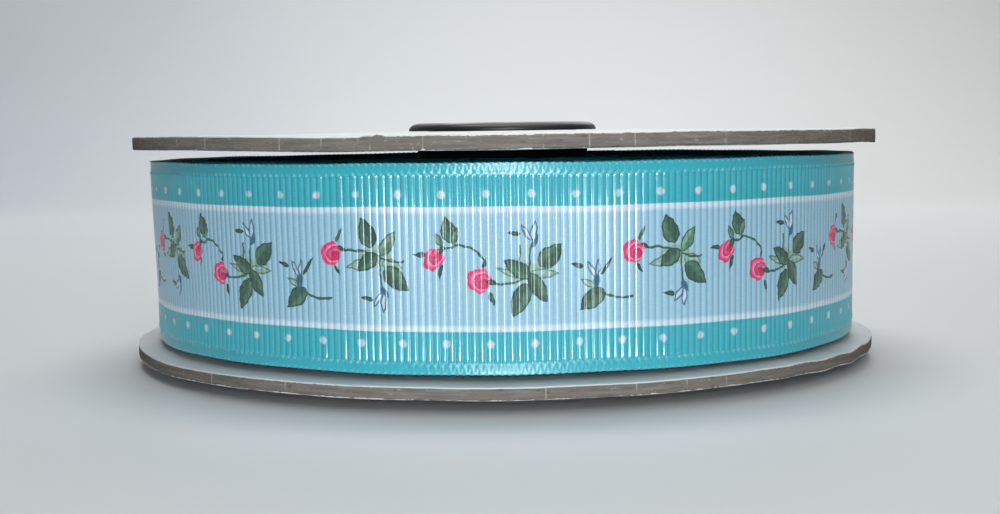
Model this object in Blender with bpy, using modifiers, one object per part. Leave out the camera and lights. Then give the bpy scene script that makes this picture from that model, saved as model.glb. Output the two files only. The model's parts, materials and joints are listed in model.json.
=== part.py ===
"""Ribbon spool: a printed grosgrain ribbon wound on a snap-together plastic hub between two card boards.

Metres, +Z up. The spool lies on one side: the origin is on the hub's axis, on the flat underside of
the lower hub cap. The order along +Z is lower cap rim, lower board with its two facing papers, core
drum with the wound ribbon, upper board with its two papers, upper cap rim.
"""

import math

import bpy

MM = 0.001

# Core drum: the tube that the ribbon is wound on.
DRUM_RADIUS = 12.7 * MM
DRUM_WALL = 1.5 * MM

# Ribbon.
RIBBON_WIDTH = 25.0 * MM
RIBBON_THICKNESS = 0.3 * MM
ROLL_RADIUS = 50.3 * MM

# Boards and the papers glued to them.
BOARD_RADIUS = 54.0 * MM
BOARD_THICKNESS = 1.4 * MM
BOARD_HOLE_CLEARANCE = 0.5 * MM
BOARD_EDGE_CHAMFER = 0.12 * MM
PAPER_THICKNESS = 0.15 * MM
PAPER_SETBACK = 0.3 * MM
GLUE_LINE = 0.15 * MM

# Hub caps: a rim outside the board, a slit sleeve that snaps into the drum.
RIM_WIDTH = 3.1 * MM
RIM_THICKNESS = 1.15 * MM
RIM_ROUNDING = 0.8 * MM
SLEEVE_WALL = 1.2 * MM
SLEEVE_DEPTH = 7.0 * MM
BARB_HEIGHT = 1.6 * MM
BARB_PROUD = 0.45 * MM
SLIT_WIDTH = 1.4 * MM
BORE_CHAMFER = 0.35 * MM

# Tapes.
TAPE_THICKNESS = 0.12 * MM
CORE_TAPE_WIDTH = 19.0 * MM
CORE_TAPE_SWEEP = math.radians(80)
END_TAPE_WIDTH = 12.0 * MM
END_TAPE_SWEEP = math.radians(24)

# Clearances between pieces that meet.
SLIDING_GAP = 0.3 * MM
TAPE_GAP = 0.3 * MM
ROLL_TO_BOARD_BELOW = 0.8 * MM
ROLL_TO_BOARD_ABOVE = 1.5 * MM

# Where the outermost turn starts and how the free end lies, as angles about +Z from +X.
TURN_START = math.radians(92)
TURN_SWEEP = math.radians(341)
TAIL_HINGE_GAP = math.radians(1)
TAIL_SWEEP = math.radians(28)

# Facets.
ROUND_STEPS = 96
BORE_STEPS = 64
STRIP_STEP = math.radians(4)

# What follows from the sizes above, from the floor up.
DRUM_BORE_RADIUS = DRUM_RADIUS - DRUM_WALL
SLEEVE_RADIUS = DRUM_BORE_RADIUS - SLIDING_GAP
SPINDLE_RADIUS = SLEEVE_RADIUS - SLEEVE_WALL
RIM_RADIUS = SLEEVE_RADIUS + RIM_WIDTH
BOARD_HOLE_RADIUS = SLEEVE_RADIUS + BOARD_HOLE_CLEARANCE
LAYER_STEP = PAPER_THICKNESS + GLUE_LINE
LAMINATE_THICKNESS = BOARD_THICKNESS + 2 * LAYER_STEP

LOWER_LAMINATE = RIM_THICKNESS + SLIDING_GAP
DRUM_BOTTOM = LOWER_LAMINATE + LAMINATE_THICKNESS + SLIDING_GAP
ROLL_BOTTOM = LOWER_LAMINATE + LAMINATE_THICKNESS + ROLL_TO_BOARD_BELOW
ROLL_MIDDLE = ROLL_BOTTOM + RIBBON_WIDTH / 2
ROLL_TOP = ROLL_BOTTOM + RIBBON_WIDTH
UPPER_LAMINATE = ROLL_TOP + ROLL_TO_BOARD_ABOVE
DRUM_TOP = UPPER_LAMINATE - SLIDING_GAP
SPOOL_HEIGHT = UPPER_LAMINATE + LAMINATE_THICKNESS + SLIDING_GAP + RIM_THICKNESS

CORE_TAPE_RADIUS = DRUM_RADIUS + TAPE_GAP + TAPE_THICKNESS / 2
ROLL_BORE_RADIUS = CORE_TAPE_RADIUS + TAPE_THICKNESS / 2 + TAPE_GAP
TURN_RADIUS = ROLL_RADIUS + SLIDING_GAP + RIBBON_THICKNESS / 2
TURN_PITCH = RIBBON_THICKNESS + SLIDING_GAP


def clear_scene():
    for leftover in list(bpy.data.objects):
        bpy.data.objects.remove(leftover, do_unlink=True)


def new_collection(name):
    collection = bpy.data.collections.new(name)
    bpy.context.scene.collection.children.link(collection)
    return collection


def material(name, colour, roughness, metallic=0.0, alpha=1.0):
    made = bpy.data.materials.new(name)
    made.use_nodes = True
    shader = made.node_tree.nodes["Principled BSDF"]
    shader.inputs["Base Color"].default_value = (*colour, 1.0)
    shader.inputs["Roughness"].default_value = roughness
    shader.inputs["Metallic"].default_value = metallic
    shader.inputs["Alpha"].default_value = alpha
    made.diffuse_color = (*colour, alpha)
    return made


def turned(name, profile, finish, steps=ROUND_STEPS):
    """A ring about +Z. The profile is (radius, height) pairs, clockwise, so its outer side runs down."""
    mesh = bpy.data.meshes.new(name)
    points = [(radius, 0.0, height) for radius, height in profile]
    edges = [(i, (i + 1) % len(points)) for i in range(len(points))]
    mesh.from_pydata(points, edges, [])
    ring = bpy.data.objects.new(name, mesh)
    parts.objects.link(ring)
    screw = ring.modifiers.new("Turn", "SCREW")
    screw.axis = "Z"
    screw.steps = steps
    screw.render_steps = steps
    screw.use_merge_vertices = True
    screw.merge_threshold = 0.00001
    screw.use_smooth_shade = False
    mesh.materials.append(finish)
    return ring


def washer(name, hole, radius, bottom, thickness, finish, chamfer=0.0):
    """A flat ring, with its outer corners cut back by chamfer."""
    top = bottom + thickness
    outer = [(radius, top), (radius, bottom)]
    if chamfer:
        outer = [
            (radius - chamfer, top),
            (radius, top - chamfer),
            (radius, bottom + chamfer),
            (radius - chamfer, bottom),
        ]
    return turned(name, [(hole, top), *outer, (hole, bottom)], finish)


def wound_strip(name, radius, start, sweep, width, thickness, finish, hinge=None):
    """A band standing round the roll. radius(angle) is its middle; its origin is at hinge, or on the axis."""
    count = max(2, math.ceil(sweep / STRIP_STEP))
    origin = hinge or (0.0, 0.0)
    curve = bpy.data.curves.new(name, "CURVE")
    curve.dimensions = "2D"
    curve.fill_mode = "NONE"
    curve.extrude = width / 2
    spline = curve.splines.new("POLY")
    spline.points.add(count)
    for i, point in enumerate(spline.points):
        angle = start + sweep * i / count
        x = radius(angle) * math.cos(angle) - origin[0]
        y = radius(angle) * math.sin(angle) - origin[1]
        point.co = (x, y, 0.0, 1.0)
    band = bpy.data.objects.new(name, curve)
    band.location = (*origin, ROLL_MIDDLE)
    parts.objects.link(band)
    shell = band.modifiers.new("Thickness", "SOLIDIFY")
    shell.thickness = thickness
    shell.offset = 0.0
    curve.materials.append(finish)
    return band


def turn_radius(angle):
    """The middle of the outermost turn: it climbs over its own start by one pitch each turn."""
    return TURN_RADIUS + TURN_PITCH * (angle - TURN_START) / math.tau


def end_tape_radius(angle):
    """The tape keeps to the radius of the free end that it holds."""
    free_end = TURN_START + TURN_SWEEP + TAIL_HINGE_GAP + TAIL_SWEEP
    return turn_radius(free_end) + RIBBON_THICKNESS / 2 + TAPE_GAP + TAPE_THICKNESS / 2


def core_tape_radius(angle):
    return CORE_TAPE_RADIUS


def make_drum():
    """A tube whose bore has a groove near each end, where the caps' barbs snap in."""
    groove_radius = SLEEVE_RADIUS + BARB_PROUD + SLIDING_GAP
    sleeve_end = SLEEVE_DEPTH - LAMINATE_THICKNESS - 2 * SLIDING_GAP
    near = sleeve_end - BARB_HEIGHT - SLIDING_GAP
    far = sleeve_end + SLIDING_GAP
    profile = [
        (DRUM_BORE_RADIUS, DRUM_TOP),
        (DRUM_RADIUS, DRUM_TOP),
        (DRUM_RADIUS, DRUM_BOTTOM),
        (DRUM_BORE_RADIUS, DRUM_BOTTOM),
        (DRUM_BORE_RADIUS, DRUM_BOTTOM + near),
        (groove_radius, DRUM_BOTTOM + near),
        (groove_radius, DRUM_BOTTOM + far),
        (DRUM_BORE_RADIUS, DRUM_BOTTOM + far),
        (DRUM_BORE_RADIUS, DRUM_TOP - far),
        (groove_radius, DRUM_TOP - far),
        (groove_radius, DRUM_TOP - near),
        (DRUM_BORE_RADIUS, DRUM_TOP - near),
    ]
    turned("core_drum", profile, black_plastic, BORE_STEPS)


def cap_profile():
    """The lower cap, rim down: its rim's edge is rounded, and its sleeve ends in a barb with a lead-in."""
    tip = RIM_THICKNESS + SLEEVE_DEPTH
    profile = [
        (SPINDLE_RADIUS, tip),
        (SLEEVE_RADIUS, tip),
        (SLEEVE_RADIUS + BARB_PROUD, tip - BARB_HEIGHT * 0.7),
        (SLEEVE_RADIUS + BARB_PROUD, tip - BARB_HEIGHT),
        (SLEEVE_RADIUS, tip - BARB_HEIGHT),
        (SLEEVE_RADIUS, RIM_THICKNESS),
        (RIM_RADIUS, RIM_THICKNESS),
    ]
    arc_steps = 5
    for i in range(arc_steps + 1):
        angle = math.pi / 2 * i / arc_steps
        radius = RIM_RADIUS - RIM_ROUNDING * (1 - math.cos(angle))
        profile.append((radius, RIM_ROUNDING * (1 - math.sin(angle))))
    profile.append((SPINDLE_RADIUS + BORE_CHAMFER, 0.0))
    profile.append((SPINDLE_RADIUS, BORE_CHAMFER))
    return profile


def slit_cutter(name, turn):
    """A bar across the sleeve, above the part of it that the board turns on."""
    bottom = RIM_THICKNESS + SLIDING_GAP + LAMINATE_THICKNESS
    height = SLEEVE_DEPTH
    bpy.ops.mesh.primitive_cube_add(size=1.0)
    bar = bpy.context.active_object
    bar.name = name
    bar.scale = (4 * SLEEVE_RADIUS, SLIT_WIDTH, height)
    bar.location = (0.0, 0.0, bottom + height / 2)
    bar.rotation_euler = (0.0, 0.0, turn)
    bar.hide_render = True
    bar.display_type = "WIRE"
    for holder in list(bar.users_collection):
        holder.objects.unlink(bar)
    cutters.objects.link(bar)
    return bar


def make_cap(name, upper):
    cap = turned(name, cap_profile(), black_plastic, BORE_STEPS)
    if upper:
        cap.rotation_euler = (math.pi, 0.0, 0.0)
        cap.location = (0.0, 0.0, SPOOL_HEIGHT)
    for i, turn in enumerate((math.pi / 4, 3 * math.pi / 4)):
        bar = slit_cutter(f"{name}_slit_{i + 1}", turn)
        if upper:
            bar.location.z = SPOOL_HEIGHT - bar.location.z
        cut = cap.modifiers.new(f"Slit {i + 1}", "BOOLEAN")
        cut.operation = "DIFFERENCE"
        cut.solver = "EXACT"
        cut.object = bar
    return cap


def make_flange(side, bottom, inner_is_above):
    """A board between two papers, from the bottom up."""
    papers = ("outer_paper", "inner_paper") if inner_is_above else ("inner_paper", "outer_paper")
    paper_radius = BOARD_RADIUS - PAPER_SETBACK
    board_bottom = bottom + LAYER_STEP
    upper_paper = board_bottom + BOARD_THICKNESS + GLUE_LINE
    washer(f"{side}_board_{papers[0]}", BOARD_HOLE_RADIUS, paper_radius, bottom, PAPER_THICKNESS, white_paper)
    washer(
        f"{side}_board",
        BOARD_HOLE_RADIUS,
        BOARD_RADIUS,
        board_bottom,
        BOARD_THICKNESS,
        grey_board,
        BOARD_EDGE_CHAMFER,
    )
    washer(
        f"{side}_board_{papers[1]}", BOARD_HOLE_RADIUS, paper_radius, upper_paper, PAPER_THICKNESS, white_paper
    )


def make_ribbon():
    washer("ribbon_roll", ROLL_BORE_RADIUS, ROLL_RADIUS, ROLL_BOTTOM, RIBBON_WIDTH, ribbon_edge)
    wound_strip(
        "ribbon_outer_turn",
        turn_radius,
        TURN_START,
        TURN_SWEEP,
        RIBBON_WIDTH,
        RIBBON_THICKNESS,
        printed_ribbon,
    )
    hinge_angle = TURN_START + TURN_SWEEP + TAIL_HINGE_GAP / 2
    hinge_radius = turn_radius(hinge_angle)
    hinge = (hinge_radius * math.cos(hinge_angle), hinge_radius * math.sin(hinge_angle))
    tail_start = TURN_START + TURN_SWEEP + TAIL_HINGE_GAP
    tail = wound_strip(
        "ribbon_tail",
        turn_radius,
        tail_start,
        TAIL_SWEEP,
        RIBBON_WIDTH,
        RIBBON_THICKNESS,
        printed_ribbon,
        hinge,
    )
    tape = wound_strip(
        "tail_tape",
        end_tape_radius,
        tail_start + TAIL_SWEEP - END_TAPE_SWEEP / 2,
        END_TAPE_SWEEP,
        END_TAPE_WIDTH,
        TAPE_THICKNESS,
        clear_tape,
        hinge,
    )
    tape.parent = tail
    tape.location = (0.0, 0.0, 0.0)


def make_core_tape():
    """Holds the ribbon's first end on the drum."""
    wound_strip(
        "core_tape",
        core_tape_radius,
        TURN_START,
        CORE_TAPE_SWEEP,
        CORE_TAPE_WIDTH,
        TAPE_THICKNESS,
        clear_tape,
    )


clear_scene()
parts = new_collection("ribbon_spool")
cutters = new_collection("cutters")

black_plastic = material("black_plastic", (0.022, 0.026, 0.028), 0.38)
grey_board = material("grey_board", (0.20, 0.185, 0.165), 0.9)
white_paper = material("white_paper", (0.72, 0.74, 0.74), 0.6)
ribbon_edge = material("ribbon_edge", (0.10, 0.42, 0.50), 0.6)
printed_ribbon = material("printed_ribbon", (0.22, 0.58, 0.70), 0.45)
clear_tape = material("clear_tape", (0.85, 0.86, 0.84), 0.2, alpha=0.35)

make_drum()
make_cap("lower_hub_cap", upper=False)
make_cap("upper_hub_cap", upper=True)
make_flange("bottom", LOWER_LAMINATE, inner_is_above=True)
make_flange("top", UPPER_LAMINATE, inner_is_above=False)
make_core_tape()
make_ribbon()
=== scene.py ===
"""Looks of the ribbon spool: ribbed printed ribbon, card boards with papers, black hub, clear tape."""

import json
import math
import random

import bpy
import numpy as np
from mathutils import Matrix, Vector


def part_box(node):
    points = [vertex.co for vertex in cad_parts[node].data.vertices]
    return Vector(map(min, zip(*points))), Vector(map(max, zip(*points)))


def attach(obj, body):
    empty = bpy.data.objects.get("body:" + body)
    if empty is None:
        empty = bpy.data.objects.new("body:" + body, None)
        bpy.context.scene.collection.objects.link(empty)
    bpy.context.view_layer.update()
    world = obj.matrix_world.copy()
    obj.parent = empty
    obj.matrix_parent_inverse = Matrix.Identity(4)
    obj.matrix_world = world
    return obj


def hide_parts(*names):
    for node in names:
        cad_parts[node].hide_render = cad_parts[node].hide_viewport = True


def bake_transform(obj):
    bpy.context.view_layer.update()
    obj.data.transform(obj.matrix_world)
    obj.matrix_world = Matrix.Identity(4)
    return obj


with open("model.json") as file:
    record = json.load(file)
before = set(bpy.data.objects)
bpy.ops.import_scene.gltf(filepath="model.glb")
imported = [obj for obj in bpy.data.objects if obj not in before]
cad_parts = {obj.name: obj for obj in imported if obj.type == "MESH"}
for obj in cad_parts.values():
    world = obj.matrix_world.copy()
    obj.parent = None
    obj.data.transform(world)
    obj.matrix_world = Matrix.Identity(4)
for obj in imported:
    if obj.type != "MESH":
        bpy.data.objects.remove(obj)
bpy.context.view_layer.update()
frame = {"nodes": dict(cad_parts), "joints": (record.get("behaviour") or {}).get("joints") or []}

MM = 0.001

# Ribbon weave. The frame's own cloth solids are CAD_CLOTH thick.
RIB_PITCH = 0.9 * MM
RIB_HEIGHT = 0.15 * MM
RIB_COLUMNS = 8
SELVEDGE = 1.55 * MM
CLOTH_THICKNESS = 0.26 * MM
CAD_CLOTH = 0.3 * MM

# Ribbon print, in millimetres on the cloth: x along the ribbon, y up from its lower edge.
PRINT_REPEAT = 36.8
PRINT_AT_FRONT = 21.35
DOTS_PER_REPEAT = 7
DOT_RADIUS = 0.47
BORDER_WIDTH = 5.15
STRIPE_WIDTH = 0.85
DOT_HEIGHT = 3.7
DOT_LEAD_ABOVE = 0.8
DOT_LEAD_BELOW = 1.1
INK_SPREAD = 0.34

# The wound turns under the printed one, and how far the ribbon's start tucks under its own end.
WOUND_PITCH = 0.45 * MM
TUCK = math.radians(26)
BEND_REACH = math.radians(5)
MOUTH_FLARE = 0.6 * MM
TAIL_CURL = 0.12 * MM

# Boards: facets, how far a paper stands on its board, the warp at the edge and the dish at the hub,
# and how far each board's faces are moved out from the frame's.
BOARD_STEPS = 1200
PAPER_FILM = 0.11 * MM
BOARD_BOW = 0.16 * MM
BOARD_DISH = 0.3 * MM
BOW_SEEDS = {"top_flange": 21, "bottom_flange": 34}
TOP_BOARD_SPARE = 0.12 * MM
BOTTOM_BOARD_SPARE = 0.03 * MM

# Hub caps.
SLEEVE_WALL = 1.2 * MM
BARB_PROUD = 0.45 * MM
BARB_HEIGHT = 1.6 * MM
SLIT_WIDTH = 1.4 * MM
SLIT_START = 3.45 * MM
EDGE_RUN = 1.8 * MM

# Tape.
TAPE_FILM = 0.05 * MM
TOOTH_PITCH = 0.8 * MM
TOOTH_DEPTH = 0.3 * MM
TAPE_STANDOFF = 0.08 * MM

# Camera: a 36 mm sensor a hand's breadth from the spool, a little above it and looking slightly down.
LENS = 54.4
CAMERA_ASIDE = -0.87 * MM
CAMERA_BACK = 227.4 * MM
CAMERA_ABOVE_RIBBON = 28.55 * MM
LOOK_DOWN = 4.73
LOOK_ASIDE = -0.07
CAMERA_ROLL = -0.74


# ---------------------------------------------------------------- frame ----

def node_points(name):
    """The vertices of a CAD node, as an array."""
    mesh = frame["nodes"][name].data
    points = np.empty(len(mesh.vertices) * 3)
    mesh.vertices.foreach_get("co", points)
    return points.reshape(-1, 3)


def node_radii(name):
    """How far each vertex of a CAD node lies from the axis."""
    return np.hypot(*node_points(name)[:, :2].T)


def strip_of(name):
    """(start angle, sweep, middle radius at start and end, bottom, top) of a band round the roll."""
    points, radius = node_points(name), node_radii(name)
    inner, outer = radius.argmin(), radius.argmax()
    start = math.atan2(points[inner, 1], points[inner, 0])
    end = math.atan2(points[outer, 1], points[outer, 0])
    sweep = (end - start) % math.tau
    return (
        start,
        sweep,
        radius[inner] + CAD_CLOTH / 2,
        radius[outer] - CAD_CLOTH / 2,
        points[:, 2].min(),
        points[:, 2].max(),
    )


def node_box(name):
    low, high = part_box(name)
    return Vector(low), Vector(high)


TURN_START, TURN_SWEEP, RADIUS_START, RADIUS_END, RIBBON_LOW, RIBBON_HIGH = strip_of("ribbon_outer_turn")
CLIMB = (RADIUS_END - RADIUS_START) / TURN_SWEEP
RIBBON_WIDTH = RIBBON_HIGH - RIBBON_LOW
HINGE = next(joint for joint in frame["joints"] if joint["name"] == "tail_peel")["pos_m"]
BOARD_RADIUS = node_radii("top_board").max()


def turn_radius(angle):
    """The middle of the outermost turn, which climbs over its own start."""
    return RADIUS_START + CLIMB * (angle - TURN_START)


# ---------------------------------------------------------------- nodes ----

def srgb(red, green, blue):
    """A colour written as 0 to 255 display values, as linear RGBA."""
    def linear(value):
        value /= 255
        return value / 12.92 if value <= 0.04045 else ((value + 0.055) / 1.055) ** 2.4
    return (linear(red), linear(green), linear(blue), 1.0)


class Graph:
    """Adds nodes to a tree. An argument is a socket to link, or a constant."""

    def __init__(self, tree):
        self.tree = tree
        self.shader = tree.nodes.get("Principled BSDF")

    def node(self, kind, **settings):
        made = self.tree.nodes.new(kind)
        for name, value in settings.items():
            setattr(made, name, value)
        return made

    def feed(self, socket, value):
        if isinstance(value, bpy.types.NodeSocket):
            self.tree.links.new(value, socket)
        else:
            socket.default_value = value

    def look(self, name, value):
        """Sets one input of the material's Principled shader."""
        self.feed(self.shader.inputs[name], value)

    def math(self, operation, *values):
        made = self.node("ShaderNodeMath", operation=operation)
        for socket, value in zip(made.inputs, values):
            self.feed(socket, value)
        return made.outputs[0]

    def plus(self, first, second):
        return self.math("ADD", first, second)

    def minus(self, first, second):
        return self.math("SUBTRACT", first, second)

    def times(self, first, second):
        return self.math("MULTIPLY", first, second)

    def vector(self, operation, *values):
        made = self.node("ShaderNodeVectorMath", operation=operation)
        for socket, value in zip(made.inputs, values):
            self.feed(socket, value)
        return made.outputs["Value" if operation == "LENGTH" else "Vector"]

    def scaled(self, vector, factor):
        made = self.node("ShaderNodeVectorMath", operation="SCALE")
        self.feed(made.inputs["Vector"], vector)
        self.feed(made.inputs["Scale"], factor)
        return made.outputs["Vector"]

    def combine(self, x=0.0, y=0.0, z=0.0):
        made = self.node("ShaderNodeCombineXYZ")
        for socket, value in zip(made.inputs, (x, y, z)):
            self.feed(socket, value)
        return made.outputs[0]

    def separate(self, vector):
        made = self.node("ShaderNodeSeparateXYZ")
        self.feed(made.inputs[0], vector)
        return made.outputs[0], made.outputs[1], made.outputs[2]

    def mix(self, factor, first, second):
        made = self.node("ShaderNodeMix", data_type="RGBA")
        self.feed(made.inputs["Factor"], factor)
        self.feed(made.inputs[6], first)
        self.feed(made.inputs[7], second)
        return made.outputs[2]

    def ramp(self, value, low, high, start=0.0, end=1.0):
        """start at or below low, end at or above high, and a smooth step between."""
        made = self.node("ShaderNodeMapRange", interpolation_type="SMOOTHSTEP")
        for socket, number in zip(made.inputs, (value, low, high, start, end)):
            self.feed(socket, number)
        return made.outputs[0]

    def noise(self, vector, scale, detail=3.0, rough=0.5, dimensions="3D"):
        made = self.node("ShaderNodeTexNoise", noise_dimensions=dimensions)
        self.feed(made.inputs["Vector"], vector)
        made.inputs["Scale"].default_value = scale
        made.inputs["Detail"].default_value = detail
        made.inputs["Roughness"].default_value = rough
        return made.outputs["Fac"]

    def placed(self, vector, location, turn, scale):
        """vector as seen from a place of its own, which has this location, turn and scale."""
        made = self.node("ShaderNodeMapping", vector_type="TEXTURE")
        self.feed(made.inputs["Vector"], vector)
        self.feed(made.inputs["Location"], location)
        self.feed(made.inputs["Rotation"], turn)
        self.feed(made.inputs["Scale"], scale)
        return made.outputs[0]

    def after(self, point, colour):
        """point, made to wait for colour, so that a long chain of shapes is worked out one by one."""
        return self.vector("MULTIPLY_ADD", colour, (1e-9, 1e-9, 1e-9), point)

    def bump(self, height, distance, strength=1.0):
        made = self.node("ShaderNodeBump")
        made.inputs["Strength"].default_value = strength
        made.inputs["Distance"].default_value = distance
        self.feed(made.inputs["Height"], height)
        return made.outputs[0]


def new_material(name):
    """(material, its graph)"""
    made = bpy.data.materials.new(name)
    made.use_nodes = True
    return made, Graph(made.node_tree)


def new_group(name, floats=(), vectors=(), colours=()):
    """A node group that paints over a colour. It returns (group, graph, input sockets by name)."""
    group = bpy.data.node_groups.new(name, "ShaderNodeTree")
    for kind, names in (("Vector", vectors), ("Float", floats), ("Color", colours)):
        for socket in names:
            group.interface.new_socket(socket, in_out="INPUT", socket_type="NodeSocket" + kind)
    group.interface.new_socket("Colour", in_out="OUTPUT", socket_type="NodeSocketColor")
    graph = Graph(group)
    inputs = graph.node("NodeGroupInput")
    return group, graph, {socket.name: socket for socket in inputs.outputs if socket.name}


def finish_group(graph, colour):
    graph.feed(graph.node("NodeGroupOutput").inputs[0], colour)


# ---------------------------------------------------------------- print ----

EDGE_SOFTNESS = 0.11

OUTLINE_GREEN = srgb(38, 66, 62)
DARK_GREEN = srgb(52, 92, 78)
MID_GREEN = srgb(84, 126, 104)
PALE_GREEN = srgb(140, 176, 164)
MIST_GREEN = srgb(158, 194, 190)
BUD_BLUE = srgb(62, 108, 142)
PETAL_WHITE = srgb(196, 220, 236)
ROSE_DEEP = srgb(196, 24, 84)
ROSE_MID = srgb(226, 62, 122)
ROSE_LIGHT = srgb(244, 148, 186)


def leaf_group():
    """A pointed leaf or petal: s runs along it from 0 to 1, and t across it from -1 to 1."""
    group, g, at = new_group(
        "print_leaf",
        floats=("Turn", "Length", "Width"),
        vectors=("Point", "Base"),
        colours=("Under", "Outline", "Shade", "Light"),
    )
    half = g.times(at["Width"], 0.5)
    point = g.after(at["Point"], at["Under"])
    local = g.placed(point, at["Base"], g.combine(z=at["Turn"]), g.combine(at["Length"], half, 1.0))
    s, t, _ = g.separate(local)
    side = g.math("ABSOLUTE", t)
    belly = g.times(g.math("POWER", g.math("MAXIMUM", s, 0.0), 0.62), 2.65)
    profile = g.times(belly, g.minus(1.0, s))
    inside = g.minus(g.minus(profile, side), 0.03)
    reach = g.times(inside, half)
    cover = g.ramp(reach, 0.0, EDGE_SOFTNESS)
    veins = g.math("SINE", g.math("MULTIPLY_ADD", s, 24.0, g.times(side, -7.0)))
    lit = g.ramp(t, -0.15, 0.3, 0.12, 0.78)
    tone = g.math("MULTIPLY_ADD", veins, 0.16, lit)
    flesh = g.mix(g.ramp(tone, 0.0, 1.0), at["Shade"], at["Light"])
    body = g.ramp(reach, EDGE_SOFTNESS * 1.4, EDGE_SOFTNESS * 3.2)
    finish_group(g, g.mix(cover, at["Under"], g.mix(body, at["Outline"], flesh)))
    return group


def stem_group():
    """A line from its base that bends sideways by a share of its length."""
    group, g, at = new_group(
        "print_stem",
        floats=("Turn", "Length", "Width", "Bend"),
        vectors=("Point", "Base"),
        colours=("Under", "Ink"),
    )
    point = g.after(at["Point"], at["Under"])
    local = g.placed(point, at["Base"], g.combine(z=at["Turn"]), (1.0, 1.0, 1.0))
    along, across, _ = g.separate(local)
    s = g.math("DIVIDE", along, at["Length"])
    arch = g.times(g.times(s, g.minus(1.0, s)), at["Bend"])
    middle = g.times(arch, g.times(at["Length"], 4.0))
    off = g.math("ABSOLUTE", g.minus(across, middle))
    beside = g.minus(g.times(at["Width"], 0.5), off)
    beyond = g.math("MINIMUM", along, g.minus(at["Length"], along))
    cover = g.ramp(g.math("MINIMUM", beside, beyond), -EDGE_SOFTNESS / 2, EDGE_SOFTNESS / 2)
    finish_group(g, g.mix(cover, at["Under"], at["Ink"]))
    return group


def rose_group():
    """A rose in half profile: a lobed head whose petals wind round a deep heart set to one side."""
    group, g, at = new_group(
        "print_rose",
        floats=("Turn", "Length", "Width"),
        vectors=("Point", "Centre"),
        colours=("Under", "Deep", "Mid", "Light"),
    )
    size = g.combine(g.times(at["Length"], 0.5), g.times(at["Width"], 0.5), 1.0)
    local = g.placed(g.after(at["Point"], at["Under"]), at["Centre"], g.combine(z=at["Turn"]), size)
    x, y, _ = g.separate(local)
    radius = g.vector("LENGTH", g.combine(x, y))
    angle = g.math("ARCTAN2", y, x)
    lobes = g.math("MULTIPLY_ADD", g.math("SINE", g.math("MULTIPLY_ADD", angle, 5.0, 0.8)), 0.06, 0.94)
    reach = g.minus(lobes, radius)
    cover = g.ramp(reach, 0.0, 0.1)
    heart_x = g.minus(x, 0.3)
    heart_y = g.plus(y, 0.08)
    heart = g.vector("LENGTH", g.combine(heart_x, g.times(heart_y, 1.25)))
    around = g.math("DIVIDE", g.math("ARCTAN2", heart_y, heart_x), math.tau)
    wind = g.math("FRACT", g.plus(g.times(heart, 2.15), around))
    petal = g.mix(g.ramp(wind, 0.05, 0.62), at["Light"], at["Mid"])
    fold = g.ramp(wind, 0.7, 0.98)
    folded = g.mix(fold, petal, at["Deep"])
    head = g.mix(g.ramp(heart, 0.2, 0.62, 0.85, 0.0), folded, at["Deep"])
    rim = g.mix(g.ramp(reach, 0.05, 0.22, 0.6, 0.0), head, at["Mid"])
    finish_group(g, g.mix(cover, at["Under"], rim))
    return group


class Printer:
    """Paints shapes one over another onto a colour."""

    def __init__(self, graph, colour):
        self.graph = graph
        self.colour = colour
        self.groups = {"leaf": leaf_group(), "stem": stem_group(), "rose": rose_group()}
        self.point = None

    def stamp(self, shape, **values):
        made = self.graph.node("ShaderNodeGroup")
        made.node_tree = self.groups[shape]
        made.label = shape
        self.graph.feed(made.inputs["Point"], self.point)
        self.graph.feed(made.inputs["Under"], self.colour)
        for name, value in values.items():
            self.graph.feed(made.inputs[name], value)
        self.colour = made.outputs[0]

    def leaf(self, base, tip, width, tones=(OUTLINE_GREEN, DARK_GREEN, MID_GREEN)):
        run = (tip[0] - base[0], tip[1] - base[1])
        outline, shade, light = tones
        self.stamp(
            "leaf",
            Base=(*base, 0.0),
            Turn=math.atan2(run[1], run[0]),
            Length=math.hypot(*run),
            Width=width,
            Outline=outline,
            Shade=shade,
            Light=light,
        )

    def stem(self, base, tip, width=0.3, bend=0.0, ink=DARK_GREEN):
        run = (tip[0] - base[0], tip[1] - base[1])
        self.stamp(
            "stem",
            Base=(*base, 0.0),
            Turn=math.atan2(run[1], run[0]),
            Length=math.hypot(*run),
            Width=width,
            Bend=bend,
            Ink=ink,
        )

    def rose(self, centre, length, width, turn=0.0):
        self.stamp(
            "rose",
            Centre=(*centre, 0.0),
            Turn=math.radians(turn),
            Length=length,
            Width=width,
            Deep=ROSE_DEEP,
            Mid=ROSE_MID,
            Light=ROSE_LIGHT,
        )


FAINT_LEAF = (MIST_GREEN, MIST_GREEN, PALE_GREEN)
PALE_LEAF = (MID_GREEN, PALE_GREEN, MIST_GREEN)
SOFT_LEAF = (DARK_GREEN, MID_GREEN, PALE_GREEN)
BLUE_LEAF = (BUD_BLUE, BUD_BLUE, DARK_GREEN)
WHITE_PETAL = (BUD_BLUE, PETAL_WHITE, PETAL_WHITE)


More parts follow.
